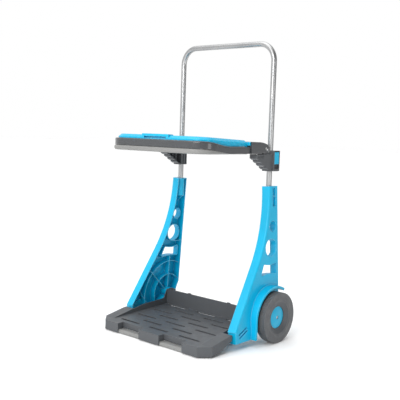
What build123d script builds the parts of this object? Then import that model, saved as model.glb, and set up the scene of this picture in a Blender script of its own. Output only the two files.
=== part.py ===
# Folding platform cart: a hinged load tray between two moulded side panels, two wheels on one axle, a
# bent tube handle, and a carriage that slides on the tubes and holds a bag ring with a hinged lid.
# Millimetres, +Z up, the floor at Z = 0, the tray pointing to -Y, the origin on the floor at the
# middle of the cart's own box. Mirrored pairs are named for the cart's -X (left) and +X (right) sides.
import os
from math import cos, radians, sin, tan
from build123d import *

os.makedirs("parts", exist_ok=True)

# ------------------------------------------------------------------ driving dimensions: the whole cart
wheel_radius = 90.0
axle_ahead = 34.0  # the axle lies this far ahead of the tubes
front_reach = 384.0  # from the tubes to the front of the bag ring
tube_spacing = 430.0  # between the tube axes
handle_height = 1063.0  # top of the handle bar
panel_top = 550.0  # top face of the side panels
tray_reach = 375.5  # from the tubes to the tray's front face
ring_base = 663.0  # underside of the bag ring

# ------------------------------------------------------------------ fits and clearances
running_fit = 0.08  # radial, a part that turns or slides on a pin, axle or tube
seat_gap = 0.2  # pieces of one body that lie face to face
moving_gap = 1.0  # pieces of different bodies that pass each other

# ------------------------------------------------------------------ reference places
tube_x = tube_spacing / 2
tube_y = (front_reach + axle_ahead - wheel_radius) / 2
axle_y = tube_y - axle_ahead
axle_z = wheel_radius
sides = {"left": -1, "right": 1}


def mirrored(piece, side):
    """The piece itself for the right side, its mirror image for the left."""
    return piece if side > 0 else mirror(piece, about=Plane.YZ)


def save(piece, name):
    piece.label = name
    export_step(piece, "parts/" + name + ".step")


# ------------------------------------------------------------------ handle tube
tube_screw_z = panel_top - 30.0
tube_screw_radius = 2.5
tube_radius = 10.0
tube_wall = 1.5
handle_bend = 62.0
socket_depth = 68.0
bar_z = handle_height - tube_radius
tube_foot = panel_top - socket_depth

with BuildPart() as handle_tube:
    with BuildLine(Plane.XZ.offset(-tube_y)) as handle_path:
        FilletPolyline(
            (-tube_x, tube_foot),
            (-tube_x, bar_z),
            (tube_x, bar_z),
            (tube_x, tube_foot),
            radius=handle_bend,
        )
    with BuildSketch(Plane(origin=(-tube_x, tube_y, tube_foot), z_dir=(0, 0, 1))):
        Circle(tube_radius)
        Circle(tube_radius - tube_wall, mode=Mode.SUBTRACT)
    sweep(path=handle_path.wires()[0])
    with BuildSketch(Plane.XZ.offset(-tube_y - tube_radius)):
        with Locations((-tube_x, tube_screw_z), (tube_x, tube_screw_z)):
            Circle(tube_screw_radius + running_fit)
    extrude(amount=tube_radius, mode=Mode.SUBTRACT)
save(handle_tube.part, "handle_tube")

# ------------------------------------------------------------------ axle
axle_radius = 6.0
axle_half = tube_x + 81.0  # the axle ends inside the hub caps
axle_plane = Plane(origin=(0, axle_y, axle_z), x_dir=(0, 1, 0), z_dir=(1, 0, 0))
axle_screw_radius = 2.5
axle_screw_bite = 14.0

with BuildPart() as axle:
    with BuildSketch(axle_plane.offset(-axle_half)):
        Circle(axle_radius)
    extrude(amount=2 * axle_half)
    chamfer(axle.edges().filter_by(GeomType.CIRCLE), length=0.8)
    for side in sides.values():
        with BuildSketch(axle_plane.offset(side * axle_half)):
            Circle(axle_screw_radius)
        extrude(amount=-side * axle_screw_bite, mode=Mode.SUBTRACT)
save(axle.part, "axle")

# ------------------------------------------------------------------ side panels
panel_splay = 3.7  # degrees that the panels lean out towards the floor
panel_depth = 33.0  # width of the flanges
panel_skin = 3.0
panel_front_round = 6.5
panel_front = 25.0  # front edge at the top, ahead of the tubes
panel_rear = 23.0
curve_radius = 500.0
curve_angle = 32.2
curve_start = 536.0
flange_foot = 64.0  # height where the front flange ends
foot_base = 25.0  # underside of the panel's foot
foot_setback = 4.0
rear_edge_base = 129.0
rib = 2.6
rib_depth = 27.0
collar_depth = 23.0
splay = radians(panel_splay)
panel_out = tube_x + 21.0  # outer face of the web at the panel's top
panel_plane = Plane(
    origin=(panel_out, tube_y, panel_top), x_dir=(0, 1, 0), z_dir=(cos(splay), 0, sin(splay))
)


def down(height):
    """Place along the panel's own vertical of a height above the floor."""
    return (height - panel_top) / cos(splay)


def web_x(height):
    """Outer face of the web at a height above the floor."""
    return panel_out + (panel_top - height) * tan(splay)


def panel_inner_x(height):
    """Inner edge of the flanges at a height above the floor."""
    return web_x(height) - panel_depth / cos(splay)


axle_spot = (-axle_ahead, down(axle_z))
big_hole_spot = (-19.5, down(331.0))
big_hole_radius = 32.0
small_hole_spot = (-7.5, down(407.0))
small_hole_radius = 19.5
window_front = -82.0  # lower front corner
window_top_front = -62.0
window_rear = 12.0
window_top = 276.0
window_base = 235.0
window_bow = 5.5  # its upper edge bows down and its lower edge bows up
window_round = 5.0
cross_rib_height = 296.0
arch_rib_radii = (126.0, 72.0)
spoke_angle = 137.0
fender_gap = 11.0  # between the tyre and the fender
fender_radius = wheel_radius + fender_gap
fender_skin = 9.0
fender_out = tube_x + 75.0
fender_end_angle = 60.0
boss_radius = 17.0
fold_height = 191.0  # above the axle, where the folding tray passes closest to the flanges
tray_half = panel_inner_x(axle_z + fold_height) - 2 * moving_gap
boss_end = tray_half + 1.2 * moving_gap  # inner end of the axle boss
wheel_side_gap = 2.0
wheel_tuck = 0.7  # the tyre's rounded inner edge passes the panel's foot by this much
socket_radius = tube_radius + 4.5
socket_floor = tube_foot - seat_gap
gusset_drop = 30.0
pocket_width = 17.0
pocket_height = 66.0
pocket_depth = 8.5
pocket_bar_drop = 36.0  # from the panel's top to the bar across the pocket
catch_spot = (-188.0, down(57.0))
catch_angle = 24.0
catch_length = 50.0
catch_width = 17.0
catch_slot = 6.0
catch_depth = 9.0
screw_head_radius = 4.5
wheel_in = web_x(foot_base) - wheel_tuck


def window_area():
    """The panel's lower opening: its upper and lower edges bow towards each other."""
    with BuildSketch(mode=Mode.PRIVATE) as area:
        with BuildLine():
            upper = ThreePointArc(
                (window_top_front, down(window_top)),
                ((window_top_front + window_rear) / 2, down(window_top - window_bow)),
                (window_rear, down(window_top)),
            )
            lower = ThreePointArc(
                (window_rear, down(window_base)),
                ((window_front + window_rear) / 2, down(window_base + window_bow)),
                (window_front, down(window_base)),
            )
            Line(upper @ 1, lower @ 0)
            Line(lower @ 1, upper @ 0)
        make_face()
        fillet(area.vertices(), radius=window_round)
    return area.sketch


with BuildPart() as arch:
    with BuildSketch(Plane.YZ.offset(tube_x + 30.0)):
        with BuildLine():
            over = CenterArc((axle_y, axle_z), fender_radius + fender_skin, fender_end_angle,
                             180 - fender_end_angle)
            leg_front = Line(over @ 1, (axle_y - fender_radius - fender_skin, foot_base))
            leg_foot = Line(leg_front @ 1, (axle_y - fender_radius, foot_base))
            leg_back = Line(leg_foot @ 1, (axle_y - fender_radius, axle_z))
            under = CenterArc((axle_y, axle_z), fender_radius, 180, fender_end_angle - 180)
            Line(under @ 1, over @ 0)
        make_face()
    extrude(amount=fender_out - tube_x - 30.0)
    fillet(arch.edges().group_by(Axis.X)[-1], radius=1.5)
    split(bisect_by=panel_plane.offset(-1.0), keep=Keep.TOP)

with BuildPart() as socket:
    with BuildSketch(Plane.XY.offset(socket_floor - panel_skin)):
        with Locations((tube_x, tube_y)):
            Circle(socket_radius)
        with Locations((tube_x + 20.0, tube_y)):
            Rectangle(40.0, 2 * socket_radius)
    extrude(amount=panel_top - socket_floor)
    with BuildSketch(Plane.XZ.offset(-tube_y)):
        with BuildLine():
            Polyline(
                (tube_x - socket_radius, socket_floor - panel_skin),
                (tube_x + 40.0, socket_floor - panel_skin),
                (tube_x + 40.0, socket_floor - gusset_drop),
                (panel_out, socket_floor - gusset_drop),
                close=True,
            )
        make_face()
    extrude(amount=rib / 2, both=True)
    split(bisect_by=panel_plane.offset(-1.0), keep=Keep.BOTTOM)

with BuildPart() as panel:
    with BuildSketch(panel_plane) as outline:
        with BuildLine():
            head = Line((panel_rear, 0), (-panel_front, 0))
            lead = Line(head @ 1, (-panel_front, down(curve_start)))
            bow = JernArc(start=lead @ 1, tangent=(0, -1), radius=curve_radius, arc_size=-curve_angle)
            foot_run = (down(flange_foot) - (bow @ 1).Y) / (bow % 1).Y
            shin = Line(bow @ 1, bow @ 1 + (bow % 1) * foot_run)
            toe_y = (shin @ 1).X + foot_setback
            toe = Polyline(
                shin @ 1,
                (toe_y, down(flange_foot)),
                (toe_y, down(foot_base)),
                (-axle_ahead - fender_radius, down(foot_base)),
                (-axle_ahead - boss_radius, down(axle_z - boss_radius)),
                (0.0, down(axle_z - boss_radius)),
                (panel_rear, down(rear_edge_base)),
                head @ 0,
            )
        make_face()
    extrude(amount=-panel_depth)
    outer_face = panel.faces().sort_by(Axis((0, 0, 0), panel_plane.z_dir))[-1]
    front_edges = [
        edge for edge in outer_face.edges()
        if edge.center().Y < tube_y - panel_front + 1.0 and edge.center().Z > flange_foot + 1.0
    ]
    fillet(front_edges, radius=panel_front_round)
    with BuildSketch(panel_plane.offset(-panel_skin)) as hollow:
        add(outline.sketch_local)
        offset(amount=-panel_skin, mode=Mode.REPLACE)
    extrude(amount=-panel_depth, mode=Mode.SUBTRACT)
    with BuildSketch(panel_plane.offset(-panel_skin)):
        with Locations(axle_spot):
            for radius in arch_rib_radii:
                Circle(radius + rib / 2)
                Circle(radius - rib / 2, mode=Mode.SUBTRACT)
        with Locations((axle_spot[0], (axle_spot[1] + down(240.0)) / 2)):
            Rectangle(rib, down(240.0) - axle_spot[1])
        with Locations(axle_spot):
            with Locations(Location((0, 0), spoke_angle)):
                with Locations((80.0, 0)):
                    Rectangle(160.0, rib)
        with Locations(Location((-166.0, down(84.0)), 127.0)):
            Rectangle(70.0, rib)
        with Locations((panel_rear - 20.0, down(cross_rib_height))):
            Rectangle(40.0, rib)
        add(outline.sketch_local, mode=Mode.INTERSECT)
    extrude(amount=panel_skin - rib_depth)
    with BuildSketch(panel_plane.offset(-panel_skin)):
        add(window_area())
        offset(amount=panel_skin)
        with Locations(big_hole_spot):
            Circle(big_hole_radius + panel_skin)
        with Locations(small_hole_spot):
            Circle(small_hole_radius + panel_skin)
        add(outline.sketch_local, mode=Mode.INTERSECT)
    extrude(amount=panel_skin - collar_depth)
    with BuildSketch(panel_plane.offset(-panel_skin)):
        with Locations(Location(catch_spot, catch_angle)):
            Rectangle(catch_length + 2 * panel_skin, catch_width + 2 * panel_skin)
        add(outline.sketch_local, mode=Mode.INTERSECT)
    extrude(amount=-catch_depth)
    add(arch.part)
    add(socket.part)
    with BuildSketch(axle_plane.offset(boss_end)):
        Circle(boss_radius)
    extrude(amount=web_x(axle_z) + wheel_side_gap - boss_end)
    with BuildSketch(panel_plane.offset(panel_skin)):
        add(window_area())
        with Locations(big_hole_spot):
            Circle(big_hole_radius)
        with Locations(small_hole_spot):
            Circle(small_hole_radius)
    extrude(amount=-2 * panel_depth, mode=Mode.SUBTRACT)
    with BuildSketch(panel_plane):
        with Locations((2.5, -pocket_height / 2 - 6.0)):
            RectangleRounded(pocket_width, pocket_height, 2.0)
        with Locations((2.5, -pocket_bar_drop)):
            Rectangle(pocket_width, rib, mode=Mode.SUBTRACT)
    extrude(amount=-pocket_depth, mode=Mode.SUBTRACT)
    with BuildSketch(panel_plane):
        with Locations(Location(catch_spot, catch_angle)):
            with Locations((0, (catch_width - catch_slot) / 2), (0, (catch_slot - catch_width) / 2)):
                RectangleRounded(catch_length, catch_slot, 2.0)
    extrude(amount=-catch_depth, mode=Mode.SUBTRACT)
    with BuildSketch(Plane.XY.offset(socket_floor)):
        with Locations((tube_x, tube_y)):
            Circle(tube_radius + running_fit)
    extrude(amount=panel_top, mode=Mode.SUBTRACT)
    with BuildSketch(axle_plane):
        Circle(axle_radius + running_fit)
    extrude(amount=2 * axle_half, mode=Mode.SUBTRACT)
    with BuildSketch(Plane.XZ.offset(-tube_y - panel_rear - 1.0)):
        with Locations((tube_x, tube_screw_z)):
            Circle(tube_screw_radius + running_fit)
    extrude(amount=panel_rear + 1.0, mode=Mode.SUBTRACT)
for name, side in sides.items():
    save(mirrored(panel.part, side), name + "_side_panel")

# ------------------------------------------------------------------ fixings on the frame
screw_head_height = 2.4
tube_screw_length = 20.0


def screw(plane, length, radius=tube_screw_radius, head=screw_head_radius, height=screw_head_height):
    """A pan-head screw whose shank runs along the plane's normal and whose head sits behind it."""
    with BuildPart(mode=Mode.PRIVATE) as one_screw:
        with BuildSketch(plane):
            Circle(radius)
        extrude(amount=length)
        with BuildSketch(plane):
            Circle(head)
        extrude(amount=-height)
        fillet(one_screw.edges().filter_by(GeomType.CIRCLE).group_by(SortBy.RADIUS)[-1], radius=0.7)
    return one_screw.part


def group(name, pieces):
    """Several identical loose fasteners kept as separate solids of one node."""
    save(Compound(children=pieces), name)


tube_screw_y = tube_y + panel_rear + seat_gap
group("tube_screws", [
    screw(Plane(origin=(side * tube_x, tube_screw_y, tube_screw_z), z_dir=(0, -1, 0)), tube_screw_length)
    for side in sides.values()
])

washer_thick = wheel_in - web_x(axle_z) - wheel_side_gap - 2 * seat_gap
washer_radius = 14.0
washers = []
for side in sides.values():
    with BuildPart() as washer:
        with BuildSketch(axle_plane.offset(side * (web_x(axle_z) + wheel_side_gap + seat_gap))):
            Circle(washer_radius)
            Circle(axle_radius + running_fit, mode=Mode.SUBTRACT)
        extrude(amount=side * washer_thick)
    washers.append(washer.part)
group("axle_washers", washers)

# ------------------------------------------------------------------ wheels
tyre_width = 40.5
tyre_seat = 58.0  # radius where the tyre sits on the hub
tyre_shoulder = 9.0  # round of its inner corner
tyre_outer_round = 4.5
hub_web = 5.0
hub_bore_wall = 9.0
bush_wall = 3.0
cap_radius = 39.5
cap_rise = 7.0
cap_skin = 3.0
cap_recess = 9.0  # the cap sits this far inside the tyre's outer face
hub_dish = 9.0  # the hub's face drops this far towards the cap
side_dish = 4.0
wheel_out = wheel_in + tyre_width
cap_seat = wheel_out - cap_recess - cap_rise
cap_hole = 6.5
bush_out = axle_radius + bush_wall

with BuildPart() as tyre:
    with BuildSketch(Plane.XY):
        with BuildLine():
            tread = Line(
                (wheel_in + tyre_shoulder, wheel_radius), (wheel_out - tyre_outer_round, wheel_radius)
            )
            outer_shoulder = RadiusArc(
                tread @ 1, (wheel_out, wheel_radius - tyre_outer_round), tyre_outer_round
            )
            outer_side = ThreePointArc(
                outer_shoulder @ 1,
                (wheel_out - side_dish, (wheel_radius + tyre_seat) / 2),
                (wheel_out - 1.0, tyre_seat),
            )
            seat = Line(outer_side @ 1, (wheel_in + 1.0, tyre_seat))
            inner_side = ThreePointArc(
                seat @ 1,
                (wheel_in + side_dish / 2, (wheel_radius + tyre_seat) / 2),
                (wheel_in, wheel_radius - tyre_shoulder),
            )
            RadiusArc(inner_side @ 1, tread @ 0, tyre_shoulder)
        make_face()
    revolve(axis=Axis.X)

with BuildPart() as hub:
    with BuildSketch(Plane.XY):
        with BuildLine():
            Polyline(
                (wheel_in, bush_out + seat_gap / 2),
                (wheel_in, bush_out + hub_bore_wall),
                (cap_seat - hub_web, bush_out + hub_bore_wall),
                (cap_seat - hub_web, tyre_seat - hub_web),
                (wheel_in + 1.0, tyre_seat - hub_web),
                (wheel_in + 1.0, tyre_seat - seat_gap / 2),
                (wheel_out - 1.0, tyre_seat - seat_gap / 2),
                (wheel_out - 1.0 - hub_dish, cap_radius + 3.0),
                (wheel_out - 1.0 - hub_dish, cap_radius + seat_gap),
                (cap_seat, cap_radius + seat_gap),
                (cap_seat, bush_out + seat_gap / 2),
                close=True,
            )
        make_face()
    revolve(axis=Axis.X)
    with BuildSketch(Plane.YZ.offset(wheel_in + 2.0)):
        with PolarLocations((bush_out + tyre_seat) / 2, 8):
            Rectangle(tyre_seat - bush_out - hub_bore_wall, rib)
    extrude(amount=cap_seat - hub_web - wheel_in - 1.0)

with BuildPart() as hub_cap:
    with BuildSketch(Plane.XY):
        with BuildLine():
            rim_line = Polyline(
                (cap_seat + seat_gap, cap_radius - cap_skin),
                (cap_seat + seat_gap, cap_radius),
                (cap_seat + cap_skin, cap_radius),
            )
            dome = ThreePointArc(
                rim_line @ 1,
                (cap_seat + cap_rise * 0.8, cap_radius * 0.55),
                (cap_seat + cap_rise, cap_hole),
            )
            mouth = Line(dome @ 1, (cap_seat + cap_rise - cap_skin, cap_hole))
            ThreePointArc(
                mouth @ 1,
                (cap_seat + cap_rise * 0.8 - cap_skin, cap_radius * 0.55),
                rim_line @ 0,
            )
        make_face()
    revolve(axis=Axis.X)

with BuildPart() as wheel_bush:
    with BuildSketch(Plane.YZ.offset(wheel_in + seat_gap)):
        Circle(bush_out)
        Circle(axle_radius + running_fit, mode=Mode.SUBTRACT)
    extrude(amount=cap_seat - wheel_in - 2 * seat_gap)

wheel_pieces = {"tyre": tyre, "hub": hub, "hub_cap": hub_cap, "wheel_bush": wheel_bush}
for name, side in sides.items():
    for piece_name, piece in wheel_pieces.items():
        placed = Pos(0, axle_y, axle_z) * piece.part
        save(mirrored(placed, side), name + "_" + piece_name)

axle_screw_head = 4.6
group("axle_end_screws", [
    screw(
        axle_plane.offset(axle_half + seat_gap) * Rotation(180, 0, 0) if side > 0
        else axle_plane.offset(-axle_half - seat_gap),
        axle_screw_bite - 2.0, axle_screw_radius - seat_gap, axle_screw_head, 2.6,
    )
    for side in sides.values()
])

# ------------------------------------------------------------------ tray
tray_skin = 3.0
deck_skin = 4.0
deck_front_z = 38.0
deck_rear_z = 48.0
nose_half = tube_spacing / 2 + 44.0  # half width ahead of the panels
nose_chamfer = 35.5
nose_run = 30.0  # depth of the front blocks and the grip notches
nose_lift = 4.0  # underside of the blocks above the floor
notch_inner = 49.0
notch_outer = 156.0
wing_rear = 237.0  # ahead of the tubes, where the wide front part starts
wing_top = 57.0
wing_base = 38.0
wall_front_z = 66.0
wall_rear_z = 71.0
ear_radius = 16.0
ear_thick = 12.0
tray_wall_back = axle_ahead + 24.0  # rear wall's back face ahead of the tubes
back_wall_top = 106.0
lug_rise = 3.0
lug_half = 7.0
lug_place = 97.0
slot_length = 94.0
slot_width = 12.0
slot_pitch = 144.0
slot_row_pitch = 43.0
slot_rows = 7
slot_first_row = 325.0
stiffener_drop = 12.0
tray_front = tube_y - tray_reach
tray_back = tube_y - tray_wall_back
bush_radius = axle_radius + bush_wall
bar_height = 16.0
bar_setback = 4.0
bar_run = 28.0
bar_half = nose_half - nose_chamfer - 4.0
bar_round = 7.0
bar_screw_spots = (-190.0, 0.0, 190.0)
bar_screw_length = 12.0
bar_screw_radius = 2.0


def deck_z(ahead):
    """Top of the deck at a distance ahead of the tubes."""
    share = (tray_reach - ahead) / (tray_reach - tray_wall_back)
    return deck_front_z + share * (deck_rear_z - deck_front_z)


def across(points, from_x, to_x, mode=Mode.ADD):
    """A slab across the tray: its side outline is given ahead of the tubes and above the floor."""
    with BuildSketch(Plane.YZ.offset(from_x), mode=Mode.PRIVATE) as outline:
        with BuildLine():
            Polyline([(tube_y - ahead, height) for ahead, height in points], close=True)
        make_face()
    extrude(outline.sketch, amount=to_x - from_x, mode=mode)


nose_back = tray_reach - nose_run
deck_outline = [
    (tray_reach, deck_front_z),
    (tray_wall_back, deck_z(tray_wall_back)),
    (tray_wall_back, deck_z(tray_wall_back) - deck_skin),
    (tray_reach, deck_front_z - deck_skin),
]
wing_outline = [
    (nose_back + 4.0, deck_front_z),
    (wing_rear + 10.0, wing_top),
    (wing_rear, wing_top),
    (wing_rear, wing_base),
    (tray_reach - 2 * nose_chamfer, nose_lift + 6.0),
    (nose_back + 4.0, nose_lift),
]
side_wall_outline = [
    (wing_rear + 46.0, deck_z(wing_rear + 46.0)),
    (wing_rear, wing_top),
    (wing_rear - 45.0, wall_front_z),
    (tray_wall_back + 18.0, wall_rear_z),
    (tray_wall_back + 4.0, back_wall_top - 5.0),
    (tray_wall_back, back_wall_top),
    (axle_ahead, axle_z + ear_radius),
    (axle_ahead, axle_z - ear_radius),
    (tray_wall_back, deck_z(tray_wall_back) - deck_skin),
    (wing_rear + 46.0, deck_z(wing_rear + 46.0) - deck_skin),
]
back_wall_outline = [
    (tray_wall_back, deck_z(tray_wall_back) - deck_skin),
    (tray_wall_back, back_wall_top),
    (tray_wall_back - tray_skin, back_wall_top),
    (tray_wall_back - tray_skin, deck_z(tray_wall_back) - deck_skin),
]

with BuildPart() as tray:
    across(deck_outline, -nose_half, nose_half)
    for row in range(slot_rows):
        slot_y = tube_y - slot_first_row + row * slot_row_pitch
        places = (-slot_pitch, 0.0, slot_pitch) if row % 2 == 0 else (-slot_pitch / 2, slot_pitch / 2)
        with BuildSketch(Plane.XY):
            with Locations([(x, slot_y) for x in places]):
                SlotOverall(slot_length, slot_width)
        extrude(amount=deck_rear_z + 1.0, mode=Mode.SUBTRACT)
    for low, high in ((-nose_half, -notch_outer), (-notch_inner, notch_inner), (notch_outer, nose_half)):
        block = [
            (tray_reach, nose_lift),
            (tray_reach, deck_front_z),
            (nose_back, deck_z(nose_back)),
            (nose_back, nose_lift + 2.0),
        ]
        across(block, low, high)
    for low, high in ((-notch_outer, -notch_inner), (notch_inner, notch_outer)):
        recess = [
            (tray_reach, 0.0),
            (tray_reach, deck_front_z + 1.0),
            (nose_back, deck_front_z + 1.0 + nose_run),
            (nose_back, 0.0),
        ]
        across(recess, low, high, Mode.SUBTRACT)
        lip = [
            (nose_back + tray_skin, bar_height + 1.0),
            (nose_back + tray_skin, deck_z(nose_back)),
            (nose_back, deck_z(nose_back)),
            (nose_back, bar_height + 1.0),
        ]
        across(lip, low, high)
    for side in sides.values():
        across(wing_outline, side * (tray_half - tray_skin), side * nose_half)
    for row in range(slot_rows - 1):
        middle = slot_first_row - (row + 0.5) * slot_row_pitch
        stiffener = [
            (middle - rib / 2, deck_z(middle) - 1.0),
            (middle + rib / 2, deck_z(middle) - 1.0),
            (middle + rib / 2, deck_z(middle) - deck_skin - stiffener_drop),
            (middle - rib / 2, deck_z(middle) - deck_skin - stiffener_drop),
        ]
        across(stiffener, -tray_half, tray_half)
    with BuildSketch(Plane.XY) as plan:
        with BuildLine():
            Polyline(
                (-nose_half + nose_chamfer, tray_front),
                (nose_half - nose_chamfer, tray_front),
                (nose_half, tray_front + nose_chamfer),
                (nose_half, tube_y - wing_rear),
                (tray_half, tube_y - wing_rear),
                (tray_half, tube_y),
                (-tray_half, tube_y),
                (-tray_half, tube_y - wing_rear),
                (-nose_half, tube_y - wing_rear),
                (-nose_half, tray_front + nose_chamfer),
                close=True,
            )
        make_face()
        fillet(plan.vertices().group_by(Axis.Y)[0], radius=8.0)
    extrude(amount=back_wall_top, mode=Mode.INTERSECT)
    for side in sides.values():
        across(side_wall_outline, side * (tray_half - tray_skin), side * tray_half)
    across(back_wall_outline, -tray_half, tray_half)
    for place in (-lug_place, lug_place):
        lug = [
            (tray_wall_back, back_wall_top - 1.0),
            (tray_wall_back, back_wall_top + lug_rise),
            (tray_wall_back - tray_skin, back_wall_top + lug_rise),
            (tray_wall_back - tray_skin, back_wall_top - 1.0),
        ]
        across(lug, place - lug_half, place + lug_half)
    for side in sides.values():
        with BuildSketch(axle_plane.offset(side * tray_half)):
            Circle(ear_radius)
        extrude(amount=-side * ear_thick)
        with BuildSketch(axle_plane.offset(side * tray_half)):
            Circle(bush_radius + seat_gap / 2)
        extrude(amount=-side * ear_thick, mode=Mode.SUBTRACT)
    bar_bed = [
        (tray_reach - bar_setback + seat_gap, -1.0),
        (tray_reach - bar_setback + seat_gap, bar_height + seat_gap),
        (tray_reach - bar_setback - bar_run - seat_gap, bar_height + seat_gap),
        (tray_reach - bar_setback - bar_run - seat_gap, -1.0),
    ]
    across(bar_bed, -bar_half - seat_gap, bar_half + seat_gap, Mode.SUBTRACT)
    for place in bar_screw_spots:
        with BuildSketch(Plane(origin=(place, tray_front + bar_setback + bar_run / 2, bar_height))):
            Circle(bar_screw_radius + running_fit)
        extrude(amount=bar_screw_length, mode=Mode.SUBTRACT)
save(tray.part, "tray")

tray_bushes = []
for side in sides.values():
    with BuildPart() as tray_bush:
        with BuildSketch(axle_plane.offset(side * tray_half)):
            Circle(bush_radius)
            Circle(axle_radius + running_fit, mode=Mode.SUBTRACT)
        extrude(amount=-side * ear_thick)
    tray_bushes.append(tray_bush.part)
group("tray_bushes", tray_bushes)

with BuildPart() as skid_bar:
    with BuildSketch(Plane.YZ.offset(-bar_half)):
        with Locations((tray_front + bar_setback + bar_run / 2, bar_height / 2)):
            RectangleRounded(bar_run, bar_height, bar_round)
    extrude(amount=2 * bar_half)
    for place in bar_screw_spots:
        with BuildSketch(Plane(origin=(place, tray_front + bar_setback + bar_run / 2, 0))):
            Circle(screw_head_radius + seat_gap)
        extrude(amount=screw_head_height + 2.0, mode=Mode.SUBTRACT)
        with BuildSketch(Plane(origin=(place, tray_front + bar_setback + bar_run / 2, 0))):
            Circle(bar_screw_radius + running_fit)
        extrude(amount=bar_height, mode=Mode.SUBTRACT)
save(skid_bar.part, "skid_bar")
group("skid_bar_screws", [
    screw(
        Plane(origin=(place, tray_front + bar_setback + bar_run / 2, screw_head_height + 2.0)),
        bar_height - screw_head_height - 2.0 + bar_screw_length - 1.0, bar_screw_radius,
    )
    for place in bar_screw_spots
])

# ------------------------------------------------------------------ carriage brackets on the tubes
bracket_top = ring_base - 0.5
bracket_base = 603.0
bracket_front = 101.0  # ahead of the tubes
bracket_nose = 14.0  # height of the bracket's front end
bracket_heel = 25.0  # ahead of the tubes, where the stepped underside ends
bracket_steps = 4
bracket_back = -16.0
bracket_in = tube_x - tube_radius - 5.0
bracket_out = tube_x + tube_radius + 7.0
bracket_skin = 3.0
housing_top = 676.0
housing_front = 12.0
housing_back = -29.0
housing_out = tube_x + tube_radius + 12.0
housing_in = tube_x + 4.0
pocket_floor_x = tube_x + tube_radius + 3.5
lever_pocket = (3.0, -26.0, 611.0, 674.0)  # ahead, ahead, low, high
lever_gap = 0.5
lever_low = 628.0
lever_pin_radius = 1.6
lever_pin_z = 668.0
lever_pin_x = pocket_floor_x + 4.6
lever_out = housing_out - 0.5
pad_radius = 5.0
pad_z = 652.0
fold_ahead = 50.0
fold_z = 684.0
fold_pin_radius = 4.0
fold_lug_radius = 10.0
arm_in = tube_x - 17.0
arm_out = tube_x + 18.0
arm_skin = 4.0
arm_front = 131.0
arm_heel_radius = 17.0
arm_top_front = 706.0
arm_top_rear = 697.0
rib_places = (82.0, 64.0, 46.0)
side_plane = Plane(origin=(0, tube_y, 0), x_dir=(0, -1, 0), z_dir=(-1, 0, 0))


def side_view(x):
    """A plane seen from the side: first ahead of the tubes, then up from the floor. It looks to -X."""
    return side_plane.offset(-x)


step_run = (bracket_front - bracket_heel) / bracket_steps
step_drop = (bracket_top - bracket_nose - bracket_base) / bracket_steps
bracket_shape = [(bracket_front, bracket_top)]
for step in range(bracket_steps):
    step_z = bracket_top - bracket_nose - step * step_drop
    bracket_shape.append((bracket_front - step * step_run, step_z))
    bracket_shape.append((bracket_front - (step + 0.6) * step_run, step_z - step_drop / 2))
    bracket_shape.append((bracket_front - (step + 1) * step_run, step_z - step_drop / 2))
bracket_shape += [
    (bracket_heel, bracket_base),
    (bracket_back, bracket_base),
    (bracket_back, housing_top),
    (housing_front - 4.0, housing_top),
    (housing_front, bracket_top),
]
recess_shape = [
    (bracket_front - 3.0, bracket_top - 3.0),
    (bracket_front - 3.0, bracket_top - bracket_nose + 3.0),
    (bracket_heel + 2.0, bracket_base + 6.0),
    (16.0, bracket_base + 4.0),
    (16.0, bracket_top - 3.0),
]

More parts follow.
